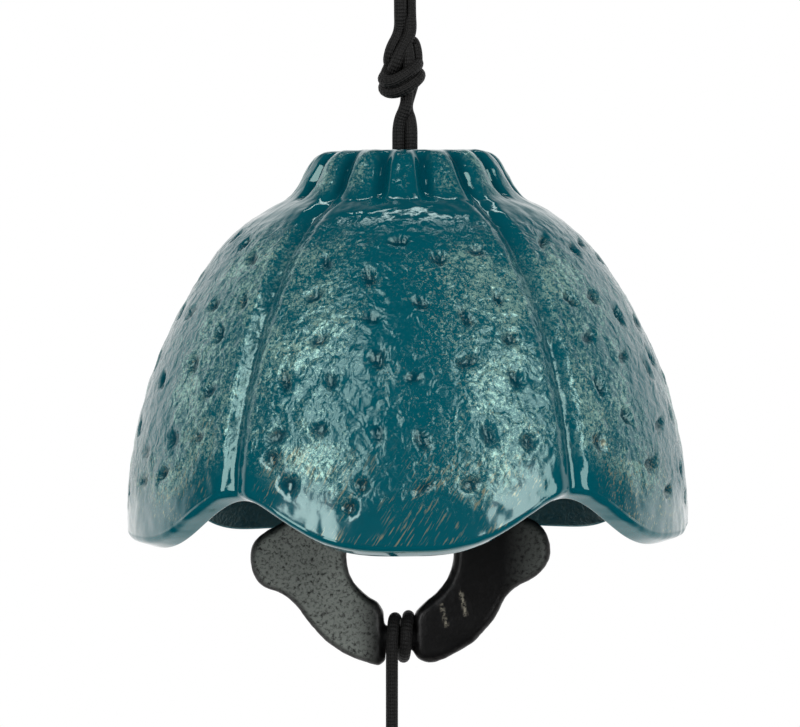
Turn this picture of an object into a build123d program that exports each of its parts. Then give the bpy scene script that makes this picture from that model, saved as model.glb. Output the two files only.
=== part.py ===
from build123d import *

import math
import os

# A cast-iron wind bell shaped like a sea-urchin shell, hung on a braided cord, with a ring
# clapper and a paper strip. Millimetres. The origin is the inside of the hanging loop's top,
# where it bears on its hook, +Z is up and -Y is the front.

# Braided cord
cord_diameter = 1.75
strand_gap = 0.1            # between the two strands of the doubled cord
swing_clearance = 0.3       # between a cord's end and what it swings on
wrap_clearance = 0.12       # between a winding and the waist inside it
wrap_pitch = 2.35           # from one turn of a winding to the next
cord_sides = 6              # sides of a cord's section
knot_sides = 12             # sides of a knot's sections

# Hanging loop
hook_diameter = 3.4
loop_drop = 20.0            # from the hook to the loop knot
loop_parallel = 7.5         # strands side by side above the knot
loop_eye_drop = 5.2         # from the hook to where the eye is widest
loop_turn = 42.0            # the loop's plane, turned about the vertical, degrees
loop_knot_height = 9.7
loop_knot_radius = 2.9      # upper bulb
loop_knot_low_radius = 3.1  # lower bulb
loop_knot_waist = 2.55
crown_strand_drop = 7.6     # bare strands between the loop knot and the bell

# Bell profile, from the rim up: skirt, flank, shoulder, hollow neck, collar
skirt_radius = 40.0
skirt_straight = 3.0
flank_radius = 62.0
flank_sweep = 36.5          # degrees
shoulder_radius = 27.0
shoulder_sweep = 28.0       # degrees
neck_radius = 6.0
neck_sweep = 35.0           # degrees
collar_side = 3.0
collar_edge_radius = 4.2
bell_wall = 3.0
crown_thickness = 4.0
crown_hole_diameter = 6.0

# Lobes, flutes and rim
lobe_count = 5
front_lobe_azimuth = -1.0   # degrees from the front
groove_width = 3.8
groove_depth = 1.3
groove_floor = 0.9          # flat width at a groove's bottom
flutes_per_lobe = 3
flute_width = 2.7
flute_depth = 0.8
flute_floor = 0.4           # flat width at a flute's bottom
flute_top_sweep = 45.0      # how far a valley follows the collar's edge, degrees
valley_rise = 1.0           # height of a valley's cutter above the surface
notch_height = 7.3
notch_radius = 5.5
rim_slope = 18.0            # the rim's face, down towards the inside, degrees
outer_chord = 0.065         # how far the straight steps that round the casting stay off its arcs
inner_chord = 0.45

# Stop knot and clapper cord
stop_knot_radius = 3.6
clapper_cord_drop = 27.0    # from the stop knot's centre to the clapper hitch's upper end

# Clapper ring
ring_radius = 16.3
eye_radius = 7.7
ear_reach = 21.5
ear_radius = 4.8
ear_hollow_radius = 7.0
ring_thickness = 4.0
ring_bevel = 0.9
waist_radius = 1.8
waist_gap = 5.4             # between the two wings of the ring, where the cord is wound
wing_corner_cut = 1.0
hitch_rise = 12.2           # from the waist's centre to where the cord leaves the hitch
clapper_roll = 2.5          # right side up, degrees
clapper_hang = -0.7         # from the bell's axis to the ring's centre, to the right

# Paper strip and its cord
strip_cord_drop = 13.5
strip_cord_shift = 0.5      # from the winding's last pass to the cord under it, to the left
strip_knot_radius = 2.4
strip_knot_height = 4.4
strip_width = 36.0
strip_length = 104.0
strip_thickness = 0.4
strip_hole_diameter = 3.4
strip_hole_inset = 4.6      # from the strip's top edge to the hole's centre
strip_knot_rise = 1.6       # from the strip's top edge to the strip knot

# Places that follow from the sizes
cord_radius = cord_diameter / 2
strand_offset = cord_radius + strand_gap / 2
loop_knot_top = -loop_drop
loop_knot_bottom = loop_knot_top - loop_knot_height
bell_top = loop_knot_bottom - crown_strand_drop
stop_knot_drop = math.sqrt((stop_knot_radius + swing_clearance) ** 2 - (crown_hole_diameter / 2) ** 2)
stop_knot_z = bell_top - crown_thickness - stop_knot_drop
lobe_pitch = 360 / lobe_count
first_groove = front_lobe_azimuth - 90 + lobe_pitch / 2
waist_drop = (ring_radius + eye_radius) / 2
hitch_top = stop_knot_z - clapper_cord_drop
ring_z = hitch_top - hitch_rise - waist_drop
wrap_radius = waist_radius + wrap_clearance + cord_radius
roll = math.radians(clapper_roll)
lower_waist = Vector(clapper_hang + waist_drop * math.sin(roll), 0, ring_z - waist_drop * math.cos(roll))
upper_waist = Vector(2 * clapper_hang - lower_waist.X, 0, 2 * ring_z - lower_waist.Z)
strip_exit = Vector(
    lower_waist.X - wrap_pitch / 2 - strip_cord_shift,
    -wrap_radius,
    lower_waist.Z - wrap_radius - cord_diameter,
)
strip_knot_top = strip_exit.Z - strip_cord_drop
strip_knot_bottom = strip_knot_top - strip_knot_height
strip_top = strip_knot_bottom - strip_knot_rise


def meridian(offset):
    """The bell's outer profile as (radius, height above the rim), moved outwards by offset."""
    foot = (skirt_radius + offset, 0)
    skirt = Line(foot, (skirt_radius + offset, skirt_straight))
    flank = JernArc(skirt @ 1, skirt % 1, flank_radius + offset, flank_sweep)
    shoulder = JernArc(flank @ 1, flank % 1, shoulder_radius + offset, shoulder_sweep)
    neck = JernArc(shoulder @ 1, shoulder % 1, neck_radius - offset, -neck_sweep)
    side = Line(neck @ 1, neck @ 1 + (neck % 1) * collar_side)
    return [skirt, flank, shoulder, neck, side]


def collar_edge(side, offset, sweep):
    """The rounded edge of the collar, from the top of its side inwards."""
    return JernArc(side @ 1, side % 1, collar_edge_radius + offset, sweep)


edge_sweep = 90 - flank_sweep - shoulder_sweep + neck_sweep
bell_height = (collar_edge(meridian(0)[-1], 0, edge_sweep) @ 1).Y
rim_z = bell_top - bell_height
rim_allowance = notch_height    # spare height below the rim, which the scallops cut off


def stepped(edges, chord):
    """The points along a chain of edges, with each arc in equal steps that stay this near to it."""
    points = [edges[0] @ 0]
    for edge in edges:
        turn = math.radians((edge % 0).get_angle(edge % 1))
        count = 1
        if turn > 0.01:
            count = math.ceil(turn / (2 * math.acos(1 - chord * turn / edge.length)))
        points += [edge @ (index / count) for index in range(1, count + 1)]
    return points


def revolved(edges, chord):
    """The solid of revolution between a chain of edges and the axis."""
    points = stepped(edges, chord)
    outline = Polyline((0, points[0].Y), *points, (0, points[-1].Y), close=True)
    return revolve(Plane.XZ * make_face(outline.edges()), Axis.Z)


def bell_body():
    """The plain casting: outer form less the hollow, with the hole through the crown."""
    outline = meridian(0)
    foot = outline[0] @ 0
    skirt_end = Line((foot.X, -rim_allowance), foot)
    edge = collar_edge(outline[-1], 0, edge_sweep)
    outside = revolved([skirt_end] + outline + [edge], outer_chord)

    hollow = meridian(-bell_wall)
    mouth = hollow[0] @ 0
    way_in = Line((mouth.X, -rim_allowance), mouth)
    ceiling = bell_height - crown_thickness
    rise = (ceiling - (hollow[-1] @ 0).Y) / (hollow[-1] % 0).Y
    chamber = Line(hollow[-1] @ 0, hollow[-1] @ 0 + (hollow[-1] % 0) * rise)
    inside = revolved([way_in] + hollow[:-1] + [chamber], inner_chord)

    hole = Pos(0, 0, bell_height) * Cylinder(crown_hole_diameter / 2, 3 * crown_thickness)
    return outside - inside - hole


def valley_cutter(path, width, depth, floor):
    """A cutter with sloping sides along a chain of edges of the profile, sunk to a depth."""
    wire = Plane.XZ * Wire(path)
    spread = (width - floor) / 2 / depth * (depth + valley_rise)
    corner = floor / 2
    section = make_face(
        Polyline(
            (-corner, depth),
            (corner, depth),
            (corner + spread, -valley_rise),
            (-corner - spread, -valley_rise),
            close=True,
        ).edges()
    )
    return sweep(Plane(wire @ 0, x_dir=(0, 1, 0), z_dir=wire % 0) * section, path=wire)


def collar_path():
    """The part of the profile that a valley follows over the collar, and its straight run out."""
    neck, side = meridian(0)[3:]
    edge = collar_edge(side, 0, flute_top_sweep)
    return [neck, side, edge, Line(edge @ 1, edge @ 1 + (edge % 1) * collar_edge_radius)]


def groove_cutter():
    """The valley between two lobes, from under the rim to the top of the collar."""
    skirt, flank, shoulder = meridian(0)[:3]
    foot = skirt @ 0
    run_in = Line((foot.X, -rim_allowance), foot)
    path = [run_in, skirt, flank, shoulder] + collar_path()
    return valley_cutter(path, groove_width, groove_depth, groove_floor)


def flute_cutter():
    """The valley between two ridges of the collar, which runs out at both ends."""
    path = collar_path()
    foot = path[0]
    run_in = Line(foot @ 0 - (foot % 0) * shoulder_radius / 3, foot @ 0)
    return valley_cutter([run_in] + path, flute_width, flute_depth, flute_floor)


def arc_middle(centre, start, end):
    """The middle of the shorter arc between two points on a circle round a centre."""
    hub = Vector(*centre)
    spoke = Vector(*start) - hub
    return hub + (spoke + Vector(*end) - hub).normalized() * spoke.length


def scallop_cutter():
    """What is cut away under the rim between two lobe tips, with the rim's slope."""
    inner = skirt_radius - bell_wall
    half = inner * math.sin(math.radians(lobe_pitch / 2))
    tip = inner * math.cos(math.radians(lobe_pitch / 2))
    slope = math.tan(math.radians(rim_slope))
    height = notch_height - (inner - tip) * slope
    lobe_radius = (half**2 + height**2) / (2 * height) - notch_radius
    share = lobe_radius / (lobe_radius + notch_radius)
    meet = (half * (1 - share), lobe_radius + (height - notch_radius - lobe_radius) * share)
    right = ThreePointArc((half, 0), arc_middle((half, lobe_radius), (half, 0), meet), meet)
    top = ThreePointArc(meet, (0, height), (-meet[0], meet[1]))
    left = mirror(right, Plane.YZ)
    spare = half / 8
    low = -2 * rim_allowance
    edge = half + spare
    floor = Polyline((half, 0), (edge, 0), (edge, low), (-edge, low), (-edge, 0), (-half, 0))
    outline = make_face([right, top, left] + floor.edges())
    plane = Plane((tip - bell_wall, 0, -bell_wall * slope), x_dir=(0, 1, 0), z_dir=(1, 0, 0))
    return extrude(plane * outline, skirt_radius, dir=(1, 0, slope))


def bell_shell():
    """The lobed and fluted casting."""
    groove = groove_cutter()
    flute = flute_cutter()
    scallop = scallop_cutter()
    shell = bell_body()
    for lobe in range(lobe_count):
        azimuth = first_groove + lobe_pitch * lobe
        shell -= Rot(0, 0, azimuth) * groove
        for valley in range(1, flutes_per_lobe):
            shell -= Rot(0, 0, azimuth + lobe_pitch * valley / flutes_per_lobe) * flute
    for lobe in range(lobe_count):
        shell -= Rot(0, 0, first_groove + lobe_pitch * lobe) * scallop
    return Pos(0, 0, rim_z) * shell


def bead(profile, sides):
    """A many-sided bead through sections given as (height, radius), from one end to the other."""
    rings = [
        [Vector(radius, 0, height).rotate(Axis.Z, 360 * side / sides) for side in range(sides)]
        for height, radius in profile
    ]
    corners = [rings[0], rings[-1]]
    for ring, after in zip(rings, rings[1:]):
        for side in range(sides):
            corners.append([ring[side], ring[side - 1], after[side - 1], after[side]])
    return Solid(Shell([Face(Wire.make_polygon(points)) for points in corners]))


def ball(radius, sides, latitudes=(-75, -50, -25, 0, 25, 50, 75)):
    """A bead whose corners lie on a sphere."""
    return bead(
        [
            (radius * math.sin(math.radians(latitude)), radius * math.cos(math.radians(latitude)))
            for latitude in latitudes
        ],
        sides,
    )


def cord_tube(path):
    """A cord along a chain of edges."""
    wire = Wire(path)
    section = RegularPolygon(cord_radius, cord_sides)
    tube = sweep(Plane(wire @ 0, z_dir=wire % 0) * section, path=wire)
    solid = section.area * wire.length
    print(f"cord: length {wire.length:.2f}, volume {tube.volume:.3f}, section by length {solid:.3f}")
    return tube


def straight_cord(top, bottom):
    """A straight cord between two points."""
    return cord_tube([Line(top, bottom)])


def hanging_loop():
    """The doubled cord above the knot, spread round the hook at its top."""
    crest = cord_radius
    spread = hook_diameter / 2 + cord_radius
    half = [
        (strand_offset, loop_knot_top),
        (strand_offset, loop_knot_top + loop_parallel),
        (spread, -loop_eye_drop),
        (spread, crest),
    ]
    points = half + [(-x, z) for x, z in reversed(half)]
    corners = []
    for before, corner, after in zip(points, points[1:], points[2:]):
        run_in = Vector(*corner) - Vector(*before)
        run_out = Vector(*after) - Vector(*corner)
        turn = math.radians(run_in.get_angle(run_out))
        corners.append(0.45 * min(run_in.length, run_out.length) / math.tan(turn / 2))
    print("hanging loop radii", [round(radius, 2) for radius in corners])
    path = Rot(0, 0, loop_turn) * (Plane.XZ * FilletPolyline(*points, radius=corners))
    return cord_tube(path.edges())


def loop_knot():
    """The overhand knot's outer form: an upper bulb and a lower one, drawn in between."""
    neck = strand_offset + cord_radius
    eighth = loop_knot_height / 8
    profile = [
        (0, neck),
        (-eighth, (neck + 2 * loop_knot_radius) / 3),
        (-2 * eighth, loop_knot_radius),
        (-3 * eighth, loop_knot_radius),
        (-4 * eighth, loop_knot_waist),
        (-5 * eighth, loop_knot_low_radius),
        (-6 * eighth, loop_knot_low_radius),
        (-7 * eighth, (neck + 2 * loop_knot_low_radius) / 3),
        (-8 * eighth, neck),
    ]
    return Pos(0, 0, loop_knot_top) * bead(profile, knot_sides)


def crown_strands():
    """The two strands from the loop knot through the crown to the stop knot."""
    seat = stop_knot_z + math.sqrt(stop_knot_radius**2 - strand_offset**2) + swing_clearance
    strands = [
        straight_cord((side * strand_offset, 0, loop_knot_bottom), (side * strand_offset, 0, seat))
        for side in (-1, 1)
    ]
    return Compound(children=strands)


def stop_knot():
    """The knot under the crown, round so that the bell can rock on it."""
    return Pos(0, 0, stop_knot_z) * ball(stop_knot_radius, knot_sides)


def clapper_cord():
    """The cord from the stop knot to the clapper hitch."""
    top = stop_knot_z - stop_knot_radius - swing_clearance
    bottom = hitch_top + cord_radius + swing_clearance / 2
    return straight_cord((0, 0, top), (clapper_hang, 0, bottom))


def clapper_ring():
    """A flat ring of two wings with rounded ears, joined by a round waist at top and bottom."""
    ear_x = ear_reach - ear_radius
    outline = Circle(ring_radius) + [Pos(side * ear_x, 0) * Circle(ear_radius) for side in (-1, 1)]
    outline = fillet(outline.vertices(), ear_hollow_radius)
    wings = outline - Circle(eye_radius) - Rectangle(waist_gap, 4 * ring_radius)
    tips = [vertex for vertex in wings.vertices() if abs(abs(vertex.X) - waist_gap / 2) < 1e-3]
    wings = chamfer(tips, wing_corner_cut)
    plate = extrude(Plane.XZ * wings, ring_thickness / 2, both=True)
    faces = plate.faces().sort_by(Axis.Y)
    rims = ShapeList(faces[:2] + faces[-2:]).edges()
    plate = chamfer(rims, ring_bevel)
    rod = Rot(0, 90, 0) * Cylinder(waist_radius, waist_gap + 4 * wing_corner_cut)
    waists = [Pos(0, 0, side * waist_drop) * rod for side in (-1, 1)]
    ring = plate + waists
    return Pos(clapper_hang, 0, ring_z) * Rot(0, -clapper_roll, 0) * ring


def biarcs(start, start_way, end, end_way):
    """Two tangent arcs from one point and direction to another."""
    span = end - start
    ways = start_way + end_way
    bend = 2 * (1 - start_way.dot(end_way))
    along = span.dot(ways)
    if bend < 1e-9:
        reach = span.dot(span) / (4 * span.dot(end_way))
    else:
        reach = (math.sqrt(along**2 + bend * span.dot(span)) - along) / bend
    first = start + start_way * reach
    last = end - end_way * reach
    middle = (first + last) / 2
    middle_way = (last - first).normalized()
    return [
        Edge.make_tangent_arc(start, start_way, middle),
        Edge.make_tangent_arc(middle, middle_way, end),
    ]


def winding(waist, quarter_turns, rising):
    """Edges of a cord wound round a waist, which ends with a pass at the waist's front.

    Each quarter turn is two arcs. A rising winding leaves upwards, another one downwards.
    """
    upward = 1 if rising else -1

    def node(quarter):
        angle = quarter * math.pi / 2
        place = Vector(
            wrap_pitch * (-0.5 - quarter / 4),
            -wrap_radius * math.cos(angle),
            upward * wrap_radius * math.sin(angle),
        )
        way = Vector(
            -wrap_pitch / 4 if quarter > -quarter_turns else 0,
            wrap_radius * math.sin(angle) * math.pi / 2,
            upward * wrap_radius * math.cos(angle) * math.pi / 2,
        ).normalized()
        return place, way

    nodes = [node(quarter) for quarter in range(-quarter_turns, 1)]
    start, start_way = nodes[0]
    edges = [Line(start - start_way * cord_diameter, start)]
    for (place, way), (next_place, next_way) in zip(nodes, nodes[1:]):
        edges += biarcs(place, way, next_place, next_way)
    frame = Pos(waist) * Rot(0, -clapper_roll, 0)
    return [frame * edge for edge in edges]


def least_gap(name, path):
    """Prints the least gap between one part of a wound cord and another."""
    wire = Wire(path)
    step = cord_radius / 4
    count = int(wire.length / step)
    points = [wire @ (index / count) for index in range(count + 1)]
    apart = int(3 * cord_diameter / step)
    nearest = min(
        (points[far] - points[near]).length
        for near in range(len(points))
        for far in range(near + apart, len(points))
    )
    print(f"{name}: least gap to itself {nearest - cord_diameter:.2f} mm")


def led_out(turns, end, way):
    """A winding's edges, led out to a point and straight on for one cord diameter."""
    last = turns[-1]
    straight = Line(end, end + way * cord_diameter)
    return turns + biarcs(last @ 1, last % 1, end, way) + [straight]


def clapper_hitch():
    """The turns round the upper waist, drawn together to the clapper cord above it."""
    end = Vector(clapper_hang, 0, hitch_top - cord_diameter)
    path = led_out(winding(upper_waist, 5, True), end, Vector(0, 0, 1))
    least_gap("clapper hitch", path)
    return cord_tube(path) + Pos(clapper_hang, 0, hitch_top) * ball(cord_radius, cord_sides)


def strip_hitch():
    """The turns round the lower waist, with the end led straight down at its front."""
    end = strip_exit + Vector(0, 0, cord_radius + swing_clearance / 2 + cord_diameter)
    path = led_out(winding(lower_waist, 5, False), end, Vector(0, 0, -1))
    least_gap("strip hitch", path)
    return cord_tube(path)


def strip_cord():
    """The single cord under the clapper, with a round upper end that it swings on."""
    bottom = Vector(strip_exit.X, strip_exit.Y, strip_knot_top + swing_clearance)
    return straight_cord(strip_exit, bottom) + Pos(strip_exit) * ball(cord_radius, cord_sides)


def strip_knot():
    """The small knot that closes the bight above the paper strip."""
    third = strip_knot_height / 3
    profile = [
        (0, cord_diameter),
        (-third, strip_knot_radius),
        (-2 * third, strip_knot_radius),
        (-3 * third, cord_diameter),
    ]
    return Pos(strip_exit.X, strip_exit.Y, strip_knot_top) * bead(profile, knot_sides)


def strip_loop():
    """The cord's bight: down the strip's front, through its hole and up its back."""
    leg = strip_thickness / 2 + wrap_clearance + cord_radius
    hole = strip_top - strip_hole_inset
    seat = hole + strip_hole_diameter / 2 - cord_radius - wrap_clearance
    front = Line((-leg, strip_knot_bottom), (-leg, seat + leg))
    bend = JernArc(front @ 1, front % 1, leg, 180)
    back = Line(bend @ 1, (leg, strip_knot_bottom))
    path = Pos(strip_exit.X, strip_exit.Y, 0) * (Plane.YZ * Wire([front, bend, back]))
    return cord_tube(path.edges())


def paper_strip():
    """The blank paper strip, with a punched hole near its top edge."""
    sheet = Rectangle(strip_width, strip_length)
    sheet -= Pos(0, strip_length / 2 - strip_hole_inset) * Circle(strip_hole_diameter / 2)
    solid = extrude(Plane.XZ * sheet, strip_thickness / 2, both=True)
    return Pos(strip_exit.X, strip_exit.Y, strip_top - strip_length / 2) * solid


pieces = {
    "hanging_loop": hanging_loop,
    "loop_knot": loop_knot,
    "crown_strands": crown_strands,
    "stop_knot": stop_knot,
    "bell_shell": bell_shell,
    "clapper_cord": clapper_cord,
    "clapper_hitch": clapper_hitch,
    "clapper_ring": clapper_ring,
    "strip_hitch": strip_hitch,
    "strip_cord": strip_cord,
    "strip_knot": strip_knot,
    "strip_loop": strip_loop,
    "paper_strip": paper_strip,
}

os.makedirs("parts", exist_ok=True)
for name, make in pieces.items():
    export_step(make(), f"parts/{name}.step")
print(f"stop knot {stop_knot_z:.3f}, hitch top {hitch_top:.3f}, ring centre {ring_z:.3f}")
print(f"rim {rim_z:.3f}, bell height {bell_height:.3f}, strip exit {strip_exit}, strip top {strip_top:.3f}")
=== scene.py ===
"""A cast-iron wind bell shaped like a sea-urchin shell, dressed and set in a plain studio.

Lengths are in millimetres and angles in degrees where a class states its sizes, and in metres on
the meshes. The origin is the inside of the hanging loop's top, +Z is up and -Y is the front.
"""

import logging
import math
from dataclasses import dataclass
from enum import Enum

import bpy
import numpy as np
from mathutils import Matrix, Vector, noise


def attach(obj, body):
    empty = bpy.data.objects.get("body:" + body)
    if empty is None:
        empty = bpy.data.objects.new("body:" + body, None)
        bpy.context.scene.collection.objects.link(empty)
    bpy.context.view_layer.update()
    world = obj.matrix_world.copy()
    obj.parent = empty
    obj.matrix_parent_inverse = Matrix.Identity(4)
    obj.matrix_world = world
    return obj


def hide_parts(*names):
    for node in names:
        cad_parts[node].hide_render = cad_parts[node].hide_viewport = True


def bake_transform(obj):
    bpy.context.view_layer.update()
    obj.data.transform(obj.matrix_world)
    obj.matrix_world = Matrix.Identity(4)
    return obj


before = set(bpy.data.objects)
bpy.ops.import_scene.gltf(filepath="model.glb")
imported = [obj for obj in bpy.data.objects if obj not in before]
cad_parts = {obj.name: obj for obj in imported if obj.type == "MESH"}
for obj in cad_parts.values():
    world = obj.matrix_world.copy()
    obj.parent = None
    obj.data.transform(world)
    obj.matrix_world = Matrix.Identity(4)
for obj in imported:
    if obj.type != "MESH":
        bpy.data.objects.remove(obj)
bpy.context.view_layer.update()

MM = 0.001
LOG = logging.getLogger("wind_bell")


class Slot(Enum):
    """The record's material slots."""

    BELL = "bell_iron"
    CLAPPER = "clapper_iron"
    CORD = "cord"
    PAPER = "paper"


def tone(code: str) -> tuple[float, float, float, float]:
    """A colour for a socket.

    Args:
        code: the colour as it looks on screen, as six hexadecimal digits.

    Returns:
        Linear red, green and blue, and full alpha.
    """
    shares = [int(code[place : place + 2], 16) / 255 for place in (0, 2, 4)]
    red, green, blue = [
        share / 12.92 if share <= 0.04045 else ((share + 0.055) / 1.055) ** 2.4 for share in shares
    ]
    return red, green, blue, 1.0


class Value:
    """A shader socket that takes part in Python arithmetic."""

    def __init__(self, sheet: "Sheet", socket: bpy.types.NodeSocket) -> None:
        """Keeps a socket and the sheet that it is on."""
        self.sheet = sheet
        self.socket = socket

    def _math(self, operation: str, *terms: "Value | float") -> "Value":
        """A Math node on this value and others."""
        return self.sheet.node("ShaderNodeMath", {"operation": operation}, dict(enumerate(terms)))

    def __add__(self, other: "Value | float") -> "Value":
        """The sum."""
        return self._math("ADD", self, other)

    def __radd__(self, other: float) -> "Value":
        """The sum, with a number first."""
        return self._math("ADD", other, self)

    def __sub__(self, other: "Value | float") -> "Value":
        """The difference."""
        return self._math("SUBTRACT", self, other)

    def __rsub__(self, other: float) -> "Value":
        """The difference from a number."""
        return self._math("SUBTRACT", other, self)

    def __mul__(self, other: "Value | float") -> "Value":
        """The product."""
        return self._math("MULTIPLY", self, other)

    def __rmul__(self, other: float) -> "Value":
        """The product, with a number first."""
        return self._math("MULTIPLY", other, self)

    def __truediv__(self, other: "Value | float") -> "Value":
        """The quotient."""
        return self._math("DIVIDE", self, other)

    def largest(self, other: "Value | float") -> "Value":
        """The larger of two values."""
        return self._math("MAXIMUM", self, other)

    def sine(self) -> "Value":
        """The sine of an angle in radians."""
        return self._math("SINE", self)

    def angle_from(self, across: "Value") -> "Value":
        """The angle whose sine and cosine go as this value and another."""
        return self._math("ARCTAN2", self, across)

    def smooth(self, low: float, high: float) -> "Value":
        """A smooth step.

        Args:
            low: where the step is 0.
            high: where the step is 1.

        Returns:
            The step's height at this value.
        """
        settings = {"interpolation_type": "SMOOTHSTEP"}
        return self.sheet.node(
            "ShaderNodeMapRange", settings, {"Value": self, "From Min": low, "From Max": high}
        )


class Sheet:
    """A node tree, to which nodes are added with their settings and sockets."""

    def __init__(self, tree: bpy.types.NodeTree) -> None:
        """Clears a tree."""
        self.tree = tree
        tree.nodes.clear()

    def node(
        self,
        kind: str,
        settings: dict | None = None,
        sockets: dict | None = None,
        output: int | str = 0,
    ) -> Value | None:
        """Adds a node.

        Args:
            kind: the node's type.
            settings: its properties, which are set first; "stops" are a ramp's places and colours.
            sockets: the values or links of its inputs, by name or place.
            output: the output that is wanted.

        Returns:
            That output, or None where the node has none.
        """
        made = self.tree.nodes.new(kind)
        for name, setting in (settings or {}).items():
            if name == "stops":
                self._set_stops(made.color_ramp, setting)
            else:
                setattr(made, name, setting)
        for key, value in (sockets or {}).items():
            if isinstance(value, Value):
                self.tree.links.new(value.socket, made.inputs[key])
            else:
                made.inputs[key].default_value = value
        return Value(self, made.outputs[output]) if made.outputs else None

    @staticmethod
    def _set_stops(ramp: bpy.types.ColorRamp, stops: list) -> None:
        """Gives a ramp its places and colours."""
        while len(ramp.elements) < len(stops):
            ramp.elements.new(1.0)
        for element, (place, colour) in zip(ramp.elements, stops):
            element.position = place
            element.color = colour

    def attribute(self, name: str, output: str = "Fac") -> Value:
        """A value that the mesh carries."""
        return self.node("ShaderNodeAttribute", {"attribute_name": name}, output=output)

    def place(self) -> Value:
        """The place on the piece, in metres."""
        return self.node("ShaderNodeTexCoord", output="Object")

    def grain(self, scale: float, detail: float = 3.0, roughness: float = 0.55, warp: float = 0.0) -> Value:
        """Noise over the piece.

        Args:
            scale: grains to the metre.
            detail: octaves.
            roughness: how much the finer octaves count.
            warp: how far the noise is drawn about.

        Returns:
            The noise, about 0 to 1.
        """
        sockets = {
            "Vector": self.place(),
            "Scale": scale,
            "Detail": detail,
            "Roughness": roughness,
            "Distortion": warp,
        }
        return self.node("ShaderNodeTexNoise", {}, sockets)

    def stretched_grain(
        self, stretch: tuple[float, float, float], detail: float = 3.0, turn: tuple = (0.0, 0.0, 0.0)
    ) -> Value:
        """Noise over the piece, drawn out along its axes.

        Args:
            stretch: grains to the metre along each axis.
            detail: octaves.
            turn: how far the axes are turned, in radians.

        Returns:
            The noise, about 0 to 1.
        """
        turned = self.node("ShaderNodeMapping", {}, {"Vector": self.place(), "Rotation": turn})
        place = self.node("ShaderNodeVectorMath", {"operation": "MULTIPLY"}, {0: turned, 1: stretch})
        return self.node("ShaderNodeTexNoise", {}, {"Vector": place, "Scale": 1.0, "Detail": detail})

    def parts(self, vector: Value) -> tuple[Value, Value, Value]:
        """The three parts of a vector."""
        split = self.node("ShaderNodeSeparateXYZ", {}, {0: vector})
        outputs = split.socket.node.outputs
        return Value(self, outputs[0]), Value(self, outputs[1]), Value(self, outputs[2])

    def mix(self, share: Value | float, first: object, second: object) -> Value:
        """A colour between two colours.

        Args:
            share: the second colour's share.
            first: a colour or its socket.
            second: a colour or its socket.

        Returns:
            The mixed colour.
        """
        return self.node("ShaderNodeMix", {"data_type": "RGBA"}, {0: share, 6: first, 7: second}, 2)

    def bump(self, height: Value, depth: float, strength: float = 1.0) -> Value:
        """A normal from a height.

        Args:
            height: the height, about 0 to 1.
            depth: what a height of 1 stands for, in millimetres.
            strength: how much of it shows.

        Returns:
            The normal.
        """
        return self.node(
            "ShaderNodeBump", {}, {"Height": height, "Distance": depth * MM, "Strength": strength}
        )


class Finish:
    """A finish that makes its own material."""

    def material(self, name: str) -> bpy.types.Material:
        """A material with this finish.

        Args:
            name: the material's name.

        Returns:
            The material.
        """
        material = bpy.data.materials.new(name)
        material.use_nodes = True
        sheet = Sheet(material.node_tree)
        sheet.node("ShaderNodeOutputMaterial", {}, {"Surface": self.surface(sheet)})
        return material

    def surface(self, sheet: Sheet) -> Value:
        """The shader of this finish on a sheet."""
        raise NotImplementedError


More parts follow.
